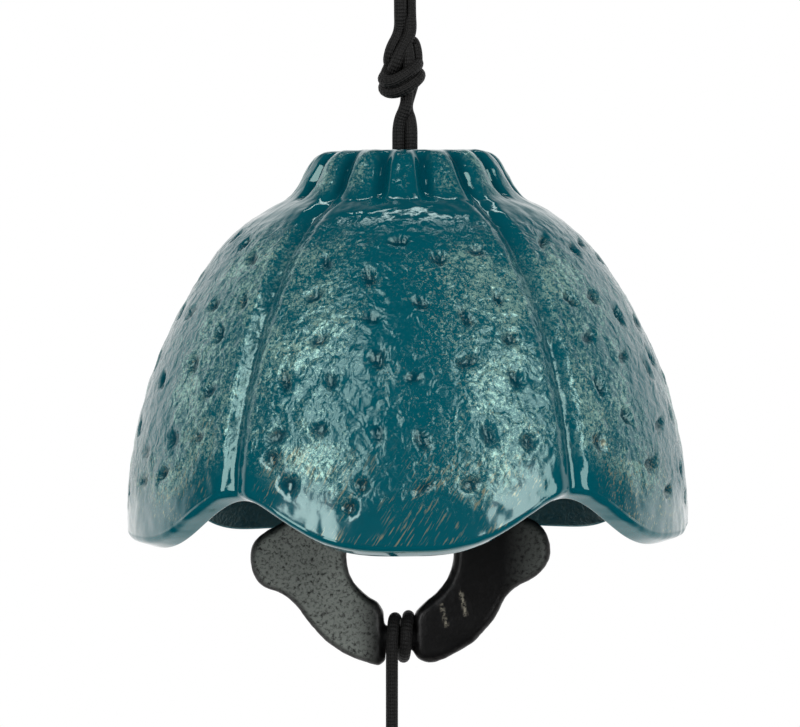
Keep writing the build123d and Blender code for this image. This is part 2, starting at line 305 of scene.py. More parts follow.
@dataclass(frozen=True)
class Enamel(Finish):
    """Glossy teal over a sand casting, dry-brushed pale on its high grains, with pale painted reflection of the
    soft lamps beside each lobe's middle.
    """

    teal: str = "00505c"
    # The deep teal is painted shade, in the recesses and inside the hollow.
    deep: str = "003745"
    pale_dust_and_sheen: str = "abd6c8"
    gold: str = "c8bd94"
    shaded_lining: str = "14363d"
    sheen: str = "d8fff6"

    def surface(self, sheet: Sheet) -> Value:
        """The shader, which follows the casting's grooves, pits and sandy fields."""
        sand = sheet.attribute("sand")
        recess_shade = sheet.attribute("recess_shade")
        inside = sheet.attribute("inside")
        low = sheet.attribute("low")
        # The brush mask marks where the pale dust and the painted lamp reflection go, and where the gold specks
        # are thicker.
        brush_and_sheen = sheet.attribute("brush_and_sheen")

        fine = sheet.grain(6500.0, 3.0, 0.65)
        coarse = sheet.grain(1700.0, 3.0, 0.6, 0.5)
        fields = sheet.grain(130.0, 3.0, 0.6, 0.5)
        heights = 0.5 * fine + 0.5 * coarse

        spread = fields.smooth(0.36, 0.66)
        # The pale dust is partly real dry-brushed paint on the high grains and partly a painted reflection of
        # the soft lamps, and it is paler where the brush mask is high.
        dust_and_sheen = (heights + 0.08 * spread + 0.1 * brush_and_sheen).smooth(0.61, 0.77) * sand * (1 - recess_shade)
        slant = sheet.stretched_grain((3600.0, 3600.0, 260.0), 3.0, (0.0, -0.55, 0.0))
        streaks = slant.smooth(0.54, 0.72) * low * fields.smooth(0.38, 0.58)
        specks = sheet.grain(3400.0, 2.0, 0.6).smooth(0.6, 0.72) * sand * spread * (0.4 + 0.6 * brush_and_sheen)
        golden = (0.55 * streaks).largest(0.6 * specks)

        # Painted shade: the pits, the grooves and the flute valleys are painted the deeper teal.
        ground = sheet.mix(recess_shade * 0.9, tone(self.teal), tone(self.deep))
        ground = sheet.mix(dust_and_sheen * 0.75, ground, tone(self.pale_dust_and_sheen))
        ground = sheet.mix(golden, ground, tone(self.gold))
        # Painted shade: the inside of the bell is painted darker than the outside, as the shade in its hollow.
        shaded_lining = sheet.mix(coarse.smooth(0.35, 0.7), tone(self.deep), tone(self.shaded_lining))
        colour = sheet.mix(inside, ground, shaded_lining)

        waves = sheet.stretched_grain((120.0, 120.0, 430.0), 1.0)
        ripple = 2.2 * waves * (1 - sand) * (1 - 0.8 * low)
        dents = sheet.grain(480.0, 2.0, 0.55, 0.4)
        skin = (0.3 * heights + 3.0 * dents) * (0.05 + 0.95 * sand)
        relief = skin + ripple + 0.8 * coarse * inside
        sockets = {
            "Base Color": colour,
            "Metallic": 0.4 * dust_and_sheen + 0.4 * streaks,
            "Roughness": 0.06 + 0.03 * sand + 0.07 * low + 0.1 * dust_and_sheen + 0.3 * inside,
            "Specular IOR Level": 1.0,
            "Specular Tint": tone(self.sheen),
            "Coat Weight": 0.7 * low * (1 - sand),
            "Coat Roughness": 0.16,
            "Normal": sheet.bump(relief, 0.17, 1.0),
        }
        return sheet.node("ShaderNodeBsdfPrincipled", {}, sockets)


@dataclass(frozen=True)
class BlackIron(Finish):
    """Black-painted sand casting, grey on its left wing as worn sand and as a painted reflection of the left
    lamp, lighter at its right tip as a painted highlight, and brown along its edges.
    """

    black: str = "0d0d0e"
    grey_wear_and_sheen: str = "8b938c"
    brown: str = "2c2622"
    scratch: str = "9c9786"

    def surface(self, sheet: Sheet) -> Value:
        """The shader, which follows the casting's flat faces and its edges."""
        edge = sheet.attribute("edge")
        scratched = sheet.attribute("scratch")
        across, _, _ = sheet.parts(sheet.place())
        grains = sheet.grain(2000.0, 4.0, 0.65, 0.3)
        holes = sheet.grain(430.0, 3.0, 0.7, 0.5).smooth(0.66, 0.72)
        fields = sheet.grain(150.0, 2.0, 0.5, 0.3)
        # Painted reflection and highlight: the left wing is greyed as worn sand and as the left lamp's
        # reflection, and the right tip is lightened as a highlight.
        left = across.smooth(-0.003, -0.008)
        tip_highlight = across.smooth(0.0135, 0.02) * 0.5
        wear_and_sheen = left.largest(tip_highlight) * (1 - edge) * grains.smooth(0.3, 0.56)
        wear_and_sheen = wear_and_sheen * (0.6 + 0.4 * fields) * (1 - 0.8 * holes)
        rubbed = edge * grains.smooth(0.5, 0.64) * 0.5
        colour = sheet.mix(wear_and_sheen * 0.8, tone(self.black), tone(self.grey_wear_and_sheen))
        colour = sheet.mix(rubbed, colour, tone(self.brown))
        colour = sheet.mix(scratched * grains.smooth(0.4, 0.6), colour, tone(self.scratch))
        roughness = 0.34 + 0.24 * wear_and_sheen + 0.12 * grains
        relief = grains * (0.3 + 0.7 * left) - 0.7 * holes * left
        sockets = {
            "Base Color": colour,
            "Roughness": roughness,
            "Normal": sheet.bump(relief, 0.2, 0.8),
        }
        return sheet.node("ShaderNodeBsdfPrincipled", {}, sockets)


@dataclass(frozen=True)
class Braid(Finish):
    """A round braid of matt black yarn."""

    yarn: str = "1e1d1c"
    shadow: str = "060606"
    carriers: float = 8.0
    lay: float = 6.6

    def surface(self, sheet: Sheet) -> Value:
        """The shader, which follows the cord round and along."""
        across, up, along = sheet.parts(sheet.attribute("lay", "Vector"))
        turn = up.angle_from(across) * self.carriers
        climb = along * self.lay
        picks = (turn + climb).sine() * (turn - climb).sine()
        fuzz = sheet.grain(3600.0, 3.0, 0.6)
        heights = picks * 0.5 + 0.5
        colour = sheet.mix(heights * (0.4 + 0.6 * fuzz), tone(self.shadow), tone(self.yarn))
        sockets = {
            "Base Color": colour,
            "Roughness": 0.55 + 0.25 * fuzz,
            "Normal": sheet.bump(heights + 0.35 * fuzz, 0.14, 0.9),
        }
        return sheet.node("ShaderNodeBsdfPrincipled", {}, sockets)


@dataclass(frozen=True)
class HandmadePaper(Finish):
    """Thick off-white paper with long fibres in it."""

    ground: str = "ece6d6"
    fibre: str = "d9cfb8"

    def surface(self, sheet: Sheet) -> Value:
        """The shader, with fibres that lie more up and down than across."""
        fibres = sheet.stretched_grain((1300.0, 1300.0, 110.0), 2.0, (0.0, 0.3, 0.0)).smooth(0.64, 0.74)
        cross = sheet.stretched_grain((110.0, 110.0, 1300.0), 2.0, (0.0, 0.5, 0.0)).smooth(0.65, 0.75)
        cloud = sheet.grain(140.0, 3.0)
        threads = fibres.largest(cross)
        colour = sheet.mix(0.6 * threads + 0.2 * cloud, tone(self.ground), tone(self.fibre))
        sockets = {
            "Base Color": colour,
            "Roughness": 0.78 + 0.12 * cloud,
            "Normal": sheet.bump(0.6 * threads + cloud, 0.08, 0.7),
        }
        return sheet.node("ShaderNodeBsdfPrincipled", {}, sockets)


def piece_of(name: str, points: np.ndarray, faces: list, material: bpy.types.Material) -> bpy.types.Object:
    """A smooth-shaded mesh piece.

    Args:
        name: the piece's name.
        points: its points in millimetres.
        faces: the points of each face.
        material: its finish.

    Returns:
        The piece, which is in the scene.
    """
    mesh = bpy.data.meshes.new(name)
    mesh.from_pydata((np.asarray(points) * MM).tolist(), [], faces)
    mesh.polygons.foreach_set("use_smooth", [True] * len(mesh.polygons))
    mesh.materials.append(material)
    mesh.update()
    piece = bpy.data.objects.new(name, mesh)
    bpy.context.collection.objects.link(piece)
    return piece


def carry(piece: bpy.types.Object, name: str, values: np.ndarray) -> None:
    """Gives a piece's points a value or a vector that its finish reads.

    Args:
        piece: the piece.
        name: what the finish calls it.
        values: one value or vector for each point.
    """
    values = np.asarray(values, dtype=np.float32)
    vector = values.ndim == 2
    kind = "FLOAT_VECTOR" if vector else "FLOAT"
    attribute = piece.data.attributes.new(name, kind, "POINT")
    attribute.data.foreach_set("vector" if vector else "value", values.ravel())


def spline_line(route: list, closed: bool = False, steps: int = 8) -> np.ndarray:
    """The smooth line that a route's points control.

    Args:
        route: the route's points, in millimetres.
        closed: whether the line comes back to its start.
        steps: points of the line for each of the route's.

    Returns:
        The line's points, in millimetres.
    """
    curve = bpy.data.curves.new("route", "CURVE")
    curve.dimensions = "3D"
    spline = curve.splines.new("NURBS")
    spline.points.add(len(route) - 1)
    for point, place in zip(spline.points, route):
        point.co = (*place, 1.0)
    spline.order_u = 3
    spline.use_endpoint_u = not closed
    spline.use_cyclic_u = closed
    spline.resolution_u = steps
    holder = bpy.data.objects.new("route", curve)
    mesh = bpy.data.meshes.new_from_object(holder)
    line = np.array([vertex.co for vertex in mesh.vertices], float)
    bpy.data.meshes.remove(mesh)
    bpy.data.objects.remove(holder)
    bpy.data.curves.remove(curve)
    return line


@dataclass
class Tube:
    """A round cord along a line."""

    line: np.ndarray
    diameter: float
    closed: bool = False
    sides: int = 16

    def length(self) -> float:
        """The line's length."""
        return float(np.linalg.norm(np.diff(self.line, axis=0), axis=1).sum())

    def _ways(self) -> np.ndarray:
        """The line's direction at each of its points."""
        if self.closed:
            ways = np.roll(self.line, -1, axis=0) - np.roll(self.line, 1, axis=0)
        else:
            ways = np.gradient(self.line, axis=0)
        return ways / np.linalg.norm(ways, axis=1, keepdims=True)

    def mesh(self) -> tuple[np.ndarray, list, np.ndarray]:
        """The tube's surface.

        Returns:
            Its points, its faces, and for each point where it is round the cord and along it.
        """
        ways = self._ways()
        side = np.cross(ways[0], (0.31, -0.9, 0.2))
        turns = np.linspace(0, 2 * math.pi, self.sides, endpoint=False)
        runs = np.linalg.norm(np.diff(self.line, axis=0, prepend=self.line[:1]), axis=1).cumsum()
        points, lays = [], []
        for place, way, run in zip(self.line, ways, runs):
            side = side - way * side.dot(way)
            side = side / np.linalg.norm(side)
            over = np.cross(way, side)
            ring = np.outer(np.cos(turns), side) + np.outer(np.sin(turns), over)
            points.append(place + ring * self.diameter / 2)
            lays.append(np.column_stack((np.cos(turns), np.sin(turns), np.full(self.sides, run))))
        count = len(self.line)
        faces = []
        for row in range(count if self.closed else count - 1):
            after = (row + 1) % count
            for column in range(self.sides):
                beside = (column + 1) % self.sides
                faces.append(
                    (
                        row * self.sides + column,
                        row * self.sides + beside,
                        after * self.sides + beside,
                        after * self.sides + column,
                    )
                )
        if not self.closed:
            faces.append(tuple(reversed(range(self.sides))))
            faces.append(tuple(range((count - 1) * self.sides, count * self.sides)))
        return np.concatenate(points), faces, np.concatenate(lays)


def corded(name: str, tubes: list[Tube], material: bpy.types.Material) -> bpy.types.Object:
    """A piece made of one tube of cord or several.

    Args:
        name: the piece's name.
        tubes: its tubes.
        material: the cord's finish.

    Returns:
        The piece.
    """
    points, faces, lays = [], [], []
    for tube in tubes:
        start = sum(len(part) for part in points)
        places, rounds, lay = tube.mesh()
        points.append(places)
        lays.append(lay)
        faces += [tuple(start + corner for corner in face) for face in rounds]
    piece = piece_of(name, np.concatenate(points), faces, material)
    carry(piece, "lay", np.concatenate(lays))
    return piece


def step(values: np.ndarray, low: float, high: float) -> np.ndarray:
    """A smooth step from 0 at low to 1 at high."""
    share = np.clip((values - low) / (high - low), 0, 1)
    return share * share * (3 - 2 * share)


@dataclass
class Meridian:
    """A profile drawn from a foot upwards, as straight runs and arcs."""

    radius: float
    height: float
    spacing: float = 0.05

    def __post_init__(self) -> None:
        """Starts the line at its foot, going straight up."""
        self.lean = 0.0
        self.line = [(0.0, self.radius, self.height, 0.0)]

    def run(self, length: float) -> None:
        """Goes straight on."""
        along, radius, height, _ = self.line[-1]
        count = max(2, round(length / self.spacing))
        for share in np.linspace(0, 1, count)[1:]:
            way = share * length
            self.line.append(
                (
                    along + way,
                    radius - way * math.sin(self.lean),
                    height + way * math.cos(self.lean),
                    self.lean,
                )
            )

    def bend(self, size: float, sweep: float) -> None:
        """Goes round an arc.

        Args:
            size: the arc's radius.
            sweep: how far it turns towards the axis, or away from it where negative, in degrees.
        """
        along, radius, height, _ = self.line[-1]
        turn = math.radians(sweep)
        side = math.copysign(1, turn)
        hub = (radius - side * size * math.cos(self.lean), height - side * size * math.sin(self.lean))
        count = max(3, round(size * abs(turn) / self.spacing))
        for share in np.linspace(0, 1, count)[1:]:
            lean = self.lean + share * turn
            self.line.append(
                (
                    along + share * size * abs(turn),
                    hub[0] + side * size * math.cos(lean),
                    hub[1] + side * size * math.sin(lean),
                    lean,
                )
            )
        self.lean += turn

    def here(self) -> tuple[float, float, float]:
        """How far along the line has come, and its radius and height there."""
        return self.line[-1][:3]

    def table(self) -> np.ndarray:
        """Four rows: distance along the line, radius, height and lean."""
        return np.array(self.line).T


@dataclass
class BellShell:
    """The lobed, fluted and pitted casting."""

    top: float = -37.3
    skirt_radius: float = 40.0
    skirt_straight: float = 3.0
    flank: tuple[float, float] = (62.0, 36.5)
    shoulder: tuple[float, float] = (27.0, 28.0)
    neck: tuple[float, float] = (6.0, 35.0)
    collar_side: float = 3.0
    collar_edge: float = 4.2
    wall: float = 3.0
    crown_thickness: float = 4.0
    hole_radius: float = 3.0
    lobes: int = 5
    front_lobe: float = -1.0
    flutes_per_lobe: int = 3
    groove_depth: float = 1.0
    groove_half: float = 2.6
    lip_height: float = 0.03
    flute_depth: float = 0.95
    flute_half: float = 1.5
    notch_height: float = 7.3
    rim_slope: float = 18.0
    rim_round: float = 0.9
    inner_round: float = 0.35
    rim_drop: float = 0.35
    tilt: float = 0.5
    hung_at: float = -43.792
    columns: int = 560
    outer_rows: int = 128
    inner_rows: int = 34
    pits: tuple[tuple[float, float], ...] = (
        (-1.0, 42.5), (22.5, 41.0), (10.5, 40.0), (-22.0, 39.5), (-9.0, 37.5), (-23.0, 35.0),
        (25.0, 34.5), (4.5, 34.0), (-7.5, 32.0), (15.5, 32.0), (-19.5, 29.0), (25.5, 29.0),
        (-5.5, 26.5), (14.5, 26.0), (2.5, 24.0), (-15.5, 23.5), (-26.0, 23.5), (25.0, 23.5),
        (-17.0, 17.0), (-5.0, 16.5), (-26.5, 16.0), (17.5, 16.0), (4.0, 15.5), (26.0, 15.0),
        (-27.0, 13.0), (-23.0, 9.5), (-8.0, 9.5), (13.5, 9.5), (4.0, 9.0), (-10.5, 6.5),
    )  # fmt: skip

    def _outside(self) -> Meridian:
        """The outer profile, from the rim to the crown's hole."""
        line = Meridian(self.skirt_radius, 0.0)
        line.run(self.skirt_straight)
        line.bend(*self.flank)
        line.bend(*self.shoulder)
        self.neck_start = line.here()[0]
        line.bend(self.neck[0], -self.neck[1])
        self.side_start = line.here()[0]
        line.run(self.collar_side)
        self.edge_start = line.here()[0]
        line.bend(self.collar_edge, 90 - math.degrees(line.lean))
        self.flat_start, flat, self.height = line.here()
        line.run(flat - self.hole_radius - 0.6)
        line.bend(0.6, 90.0)
        return line

    def _inside(self) -> Meridian:
        """The hollow's profile, from the rim to the crown's hole."""
        ceiling = self.height - self.crown_thickness
        line = Meridian(self.skirt_radius - self.wall, 0.0)
        line.run(self.skirt_straight)
        line.bend(self.flank[0] - self.wall, self.flank[1])
        line.bend(self.shoulder[0] - self.wall, self.shoulder[1])
        line.bend(self.neck[0] + self.wall, -self.neck[1])
        corner = 1.2
        swing = math.pi / 2 - line.lean
        rise = corner * (1 - math.sin(line.lean))
        line.run((ceiling - line.here()[2] - rise) / math.cos(line.lean))
        line.bend(corner, math.degrees(swing))
        line.run(line.here()[1] - self.hole_radius)
        return line

    def _valleys(self, azimuth: np.ndarray, count: int) -> np.ndarray:
        """The angle to the nearest of evenly spaced valleys, in radians."""
        pitch = 360 / count
        first = self.front_lobe + 180 / self.lobes
        return np.radians((azimuth - first + pitch / 2) % pitch - pitch / 2)

    def _rim(self, azimuth: np.ndarray) -> np.ndarray:
        """The inner rim's height above the lobes' lowest points."""
        half = math.pi / self.lobes
        share = 1 - np.abs(self._valleys(azimuth, self.lobes)) / half
        return self.notch_height * (1 - np.cos(math.pi * share**1.6)) / 2

    def _pitted(self, azimuth: np.ndarray, along: np.ndarray, radius: np.ndarray, line: np.ndarray) -> tuple:
        """The pits of all the lobes.

        Args:
            azimuth: each point's azimuth.
            along: its distance along the profile.
            radius: its radius.
            line: the profile's table.

        Returns:
            Each point's height over the plain casting, and how deep in a pit it is, from 0 to 1.
        """
        chance = np.random.default_rng(7)
        height = np.zeros_like(along)
        depth = np.zeros_like(along)
        pitch = 360 / self.lobes
        for lobe in range(self.lobes):
            mirror = -1 if lobe % 2 else 1
            shift = (0.0, 0.0) if lobe == 0 else (1.5, 1.2)
            for place, rise in self.pits:
                centre = self.front_lobe + pitch * lobe + mirror * place + chance.normal(0, 1) * shift[0]
                level = float(np.interp(rise + chance.normal(0, 1) * shift[1], line[2], line[0]))
                wide, tall = chance.uniform(1.1, 1.5), chance.uniform(1.0, 1.6)
                tilt = chance.uniform(-0.6, 0.6)
                sunk = chance.uniform(0.5, 0.85)
                turn = np.radians((azimuth - centre + 180) % 360 - 180)
                x = turn * radius
                y = along - level
                near = (np.abs(x) < 4) & (np.abs(y) < 4)
                x, y = x[near] + tilt * y[near], y[near]
                wobble = 1 + 0.22 * np.sin(2 * np.arctan2(y, x) + 6 * tilt) + 0.12 * np.sin(5 * np.arctan2(x, y))
                far = np.hypot(x / wide, y / tall) * wobble
                bowl = 1 - step(far, 0.35, 1.05)
                height[near] += 0.05 * np.exp(-(((far - 1.35) / 0.35) ** 2)) - sunk * bowl
                depth[near] = np.maximum(depth[near], bowl)
        return height, depth

    def _lumps(self, points: np.ndarray) -> np.ndarray:
        """The casting's uneven skin, in millimetres."""
        def lump(place: np.ndarray) -> float:
            """The height at one place."""
            at = Vector(place)
            broad = noise.noise(at * 0.11) * 0.16
            return broad + noise.noise(at * 0.42) * 0.13 + noise.noise(at * 1.1) * 0.055
        return np.apply_along_axis(lump, 1, points.reshape(-1, 3)).reshape(points.shape[:-1])

    def build(self) -> bpy.types.Object:
        """The bell's mesh with its finish, riding on the bell."""
        outside = self._outside().table()
        inside = self._inside().table()
        azimuth = np.arange(self.columns) * 360 / self.columns
        heading = np.radians(azimuth - 90)
        compass = np.stack((np.cos(heading), np.sin(heading)), axis=-1)
        inner_rim = self._rim(azimuth) - self.rim_drop
        slope = math.tan(math.radians(self.rim_slope))
        outer_rim = inner_rim + self.wall * slope

        def rows(line: np.ndarray, foot: np.ndarray, shares: np.ndarray) -> tuple:
            """Distance along, radius, height and lean of a grid that starts at a scalloped foot."""
            start = np.interp(foot, line[2][: np.argmax(line[2])], line[0][: np.argmax(line[2])])
            share = shares[:, None]
            along = line[0][-1] * share + start * (1 - share) ** 2
            return along, *(np.interp(along, line[0], part) for part in line[1:])

        shares = np.linspace(0, 1, self.outer_rows)
        along, radius, height, lean = rows(outside, outer_rim + self.rim_round, shares)
        bearing = np.broadcast_to(azimuth, along.shape)
        groove = np.abs(self._valleys(bearing, self.lobes)) * radius
        flute = np.abs(self._valleys(bearing, self.lobes * self.flutes_per_lobe)) * radius

        collar = step(along, self.neck_start - 0.5, self.side_start) * (
            1 - step(along, self.edge_start + 1.6, self.flat_start - 0.2)
        )
        body = 1 - step(along, self.neck_start - 2.0, self.side_start - 1.0)
        channel = 1 - step(groove, -0.4, self.groove_half)
        lips = np.exp(-(((groove - 2.6) / 0.8) ** 2))
        furrow = 1 - step(flute, 0.15, self.flute_half)
        crest = step(flute, 0.8, 2.6)
        relief = body * (self.lip_height * lips - self.groove_depth * channel)
        relief += collar * (0.28 * crest - self.flute_depth * furrow)
        pit_height, recess_shade = self._pitted(bearing, along, radius, outside)
        field = step(groove, 2.2, 3.4) * body
        relief += pit_height * field
        recess_shade = recess_shade * field

        def placed(radius: np.ndarray, height: np.ndarray) -> np.ndarray:
            """Points at radii and heights, for each column."""
            base = self.top - self.height
            return np.concatenate((radius[..., None] * compass, height[..., None] + base), axis=-1)

        still = 1 - step(along, self.flat_start - 1.0, self.flat_start + 1.0)
        relief += still * self._lumps(placed(radius, height))
        radius = radius + relief * np.cos(lean)
        height = height + relief * np.sin(lean)
        outer = placed(radius, height)

        over_rim = height - outer_rim
        sand = (0.4 + 0.6 * step(groove, 1.2, 2.2)) * body * step(over_rim, 2.5, 9.5)
        sand *= 1 - 0.92 * step(along, self.neck_start - 9.0, self.neck_start - 4.0)
        sand = np.maximum(sand, 0.75 * collar * crest)
        low = (1 - step(over_rim, 7.0, 17.0)) * step(groove, 3.0, 6.0)
        # Painted reflection mask: paler away from each lobe's middle and darker on the shoulder, where the soft
        # lamps do and don't reflect; it also stands for uneven dry-brushing.
        middle = math.pi / self.lobes - np.abs(self._valleys(bearing, self.lobes))
        brush_and_sheen = step(np.degrees(middle), 3.0, 19.0)
        brush_and_sheen -= 0.8 * step(along, self.neck_start - 14.0, self.neck_start - 7.0) * body
        # Painted shade in the recesses: full in the pits, and fainter in the grooves and the flute valleys.
        painted_recess_shade = np.maximum(recess_shade, np.maximum(0.3 * channel * body, 0.7 * furrow * collar))

        _, inner_radius, inner_height, _ = rows(
            inside, inner_rim + self.inner_round, np.linspace(1, 0, self.inner_rows)
        )
        inner = placed(inner_radius, inner_height)

        edge = self._edge(inner[-1], outer[0])
        grid = self._tilted(np.concatenate((outer, inner, edge)))
        count = len(grid)
        faces = []
        for row in range(count):
            after = (row + 1) % count
            for column in range(self.columns):
                beside = (column + 1) % self.columns
                faces.append(
                    (
                        row * self.columns + column,
                        row * self.columns + beside,
                        after * self.columns + beside,
                        after * self.columns + column,
                    )
                )
        piece = piece_of("bell_casting", grid.reshape(-1, 3), faces, Enamel().material("teal_enamel"))
        blank = np.zeros((count - len(outer), self.columns))
        lined = np.concatenate((np.zeros_like(sand), np.ones_like(inner_height), np.zeros(edge.shape[:2])))
        carry(piece, "sand", np.concatenate((sand, blank)).ravel())
        carry(piece, "recess_shade", np.concatenate((painted_recess_shade, blank)).ravel())
        carry(piece, "low", np.concatenate((low, blank)).ravel())
        carry(piece, "brush_and_sheen", np.concatenate((brush_and_sheen, blank)).ravel())
        carry(piece, "inside", lined.ravel())
        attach(piece, "bell")
        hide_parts("bell_shell")
        return piece

    def _tilted(self, points: np.ndarray) -> np.ndarray:
        """Points of the bell as it hangs, a little higher on its right."""
        turn = Matrix.Rotation(math.radians(-self.tilt), 3, "Y")
        hung = np.array((0.0, 0.0, self.hung_at))
        return (points - hung) @ np.array(turn).T + hung

    def _edge(self, inner: np.ndarray, outer: np.ndarray) -> np.ndarray:
        """The rim's sloping face with its rounded corners, between the two walls' lowest rows."""
        down = np.array((0.0, 0.0, -1.0))
        inner_corner = inner + self.inner_round * down
        outer_corner = outer + self.rim_round * down
        across = outer_corner - inner_corner
        width = np.linalg.norm(across, axis=-1, keepdims=True)
        inner_end = inner_corner + across * self.inner_round / width
        outer_end = outer_corner - across * self.rim_round / width

        def arc(start: np.ndarray, corner: np.ndarray, end: np.ndarray, shares: tuple) -> list:
            """Rows round a corner."""
            return [
                start * (1 - share) ** 2 + corner * 2 * share * (1 - share) + end * share**2 for share in shares
            ]

        turned_in = arc(inner, inner_corner, inner_end, (0.25, 0.5, 0.75, 1.0))
        face = [inner_end + (outer_end - inner_end) * share for share in (0.35, 0.7)]
        turned_out = arc(outer_end, outer_corner, outer, (0.0, 0.2, 0.4, 0.6, 0.8))
        return np.array(turned_in + face + turned_out)


@dataclass
class ClapperRing:
    """The flat cast ring of two wings, rounded along its edges."""

    centre: tuple[float, float, float] = (-0.7, 0.0, -94.992)
    thickness: float = 4.0
    grid: float = 0.3
    scratches: tuple[tuple[float, float, float, float], ...] = (
        (5.2, -102.2, 6.0, -105.2), (8.0, -100.3, 8.7, -103.6),
    )  # fmt: skip
    end_reach: float = 1.3
    end: tuple[float, float] = (2.9, -106.6)

    def _drawn_out(self, points: np.ndarray) -> np.ndarray:
        """Points with the right wing's end drawn out to the turns of cord."""
        far = np.hypot((points[:, 0] - self.end[0]) / 2.6, (points[:, 2] - self.end[1]) / 5.5)
        return points - np.outer(1 - step(far, 0.35, 1.0), (self.end_reach, 0, 0))

    def _scratched(self, points: np.ndarray) -> np.ndarray:
        """How far each point is in a scratch across the front, from 0 to 1."""
        share = np.zeros(len(points))
        for x, z, x_end, z_end in self.scratches:
            way = np.array((x_end - x, z_end - z))
            from_start = points[:, (0, 2)] - (x, z)
            along = np.clip(from_start @ way / way.dot(way), 0, 1)
            off = np.linalg.norm(from_start - along[:, None] * way, axis=1)
            share = np.maximum(share, 1 - step(off, 0.0, 0.32))
        return share * (points[:, 1] < 0)

    def build(self) -> bpy.types.Object:
        """The ring's mesh with its finish, riding on the clapper."""
        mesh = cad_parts["clapper_ring"].data.copy()
        piece = bpy.data.objects.new("clapper_casting", mesh)
        bpy.context.collection.objects.link(piece)
        remesh = piece.modifiers.new("remesh", "REMESH")
        remesh.mode = "VOXEL"
        remesh.voxel_size = self.grid * MM
        soften = piece.modifiers.new("soften", "SMOOTH")
        soften.factor = 0.5
        soften.iterations = 7
        cast = bpy.data.meshes.new_from_object(piece.evaluated_get(bpy.context.evaluated_depsgraph_get()))
        piece.modifiers.clear()
        piece.data = cast
        points = np.empty(len(cast.vertices) * 3, dtype=np.float32)
        cast.vertices.foreach_get("co", points)
        points = points.reshape(-1, 3).astype(float) / MM
        normals = np.array([vertex.normal for vertex in cast.vertices], float)
        points = self._drawn_out(points)
        lumps = [noise.noise(Vector(p) * 0.3) * 0.16 + noise.noise(Vector(p) * 1.3) * 0.05 for p in points]
        points = points + normals * np.array(lumps)[:, None]
        cast.vertices.foreach_set("co", (points * MM).ravel())
        cast.polygons.foreach_set("use_smooth", [True] * len(cast.polygons))
        cast.materials.clear()
        cast.materials.append(BlackIron().material("black_iron"))
        carry(piece, "edge", 1 - step(np.abs(normals[:, 1]), 0.55, 0.95))
        carry(piece, "scratch", self._scratched(points))
        cast.update()
        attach(piece, "clapper")
        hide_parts("clapper_ring")
        return piece


def torus_knot(ring: float, tube: float, rise: float, centre: tuple[float, float, float]) -> list:
    """The route of a closed overhand knot.

    Args:
        ring: the radius that it goes round twice.
        tube: how far it weaves in and out.
        rise: how far it weaves up and down.
        centre: its middle.

    Returns:
        The route's points.
    """
    route = []
    for turn in np.linspace(0, 2 * math.pi, 42, endpoint=False):
        reach = ring + tube * math.cos(3 * turn)
        route.append(
            (
                centre[0] + reach * math.cos(2 * turn),
                centre[1] + reach * math.sin(2 * turn),
                centre[2] + rise * math.sin(3 * turn),
            )
        )
    return route


@dataclass
class HangingCord:
    """The doubled cord: up from the crown, through an overhand knot, round the hook and back."""

    diameter: float = 1.84
    strand_offset: float = 0.9
    knot_offset: float = 0.8
    foot: tuple[float, ...] = (-41.4, -36.8, -33.2)
    loop_turn: float = 42.0
    loop_half: tuple[tuple[float, float], ...] = (
        (0.9, -17.6), (0.925, -12.5), (2.575, -5.2), (2.575, 0.875),
    )  # fmt: skip
    knot: tuple[tuple[float, float, float], ...] = (
        (0.15, 0.3, -31.0), (0.5, 0.6, -29.0), (1.0, 0.1, -26.8), (1.15, -0.5, -24.4),
        (0.9, -0.4, -22.4), (0.3, 0.6, -21.2), (-0.8, 1.5, -22.6), (-1.6, 1.6, -25.0),
        (-2.7, 0.8, -27.0), (-3.1, -0.7, -27.9), (-1.7, -2.1, -28.4), (0.3, -2.3, -27.4),
        (1.7, -1.4, -26.2), (2.0, 0.3, -25.4), (0.9, 1.7, -25.2), (-0.8, 1.8, -25.9),
        (-2.0, 0.6, -25.8), (-1.8, -0.7, -24.6), (-1.2, -0.9, -22.8), (-0.3, -0.3, -21.2),
        (0.1, -0.1, -19.8),
    )  # fmt: skip
    heart: tuple[float, float] = (-22.6, -27.0)

    def _strand(self, side: int) -> list:
        """One strand's route through the knot, beside the other one's."""
        route = np.array(self.knot)
        ways = np.gradient(route, axis=0)
        core = route * 0
        core[:, 0] = -0.2
        core[:, 2] = np.clip(route[:, 2], self.heart[1], self.heart[0])
        outward = route - core + np.array((0.0, -0.8, 0.0))
        beside = np.cross(ways, outward)
        beside /= np.linalg.norm(beside, axis=1, keepdims=True)
        return [tuple(point) for point in route + side * self.knot_offset * beside]

    def build(self, material: bpy.types.Material) -> bpy.types.Object:
        """The cord's mesh, which runs between the hook and the bell.

        Args:
            material: the cord's finish.

        Returns:
            The piece.
        """
        turn = math.radians(self.loop_turn)
        bight = [(x, z) for x, z in self.loop_half] + [(-x, z) for x, z in reversed(self.loop_half)]
        loop = [(x * math.cos(turn), x * math.sin(turn), z) for x, z in bight]
        rising = [(self.strand_offset, 0.0, z) for z in self.foot]
        falling = [(-self.strand_offset, 0.0, z) for z in reversed(self.foot)]
        route = rising + self._strand(1) + loop + self._strand(-1)[::-1] + falling
        tube = Tube(spline_line(route), self.diameter)
        piece = corded("hanging_cord", [tube], material)
        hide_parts("hanging_loop", "loop_knot", "crown_strands")
        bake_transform(piece)
        round(tube.length() * MM, 4)
        self.diameter * MM
        (tube.line * MM).tolist()
        return piece


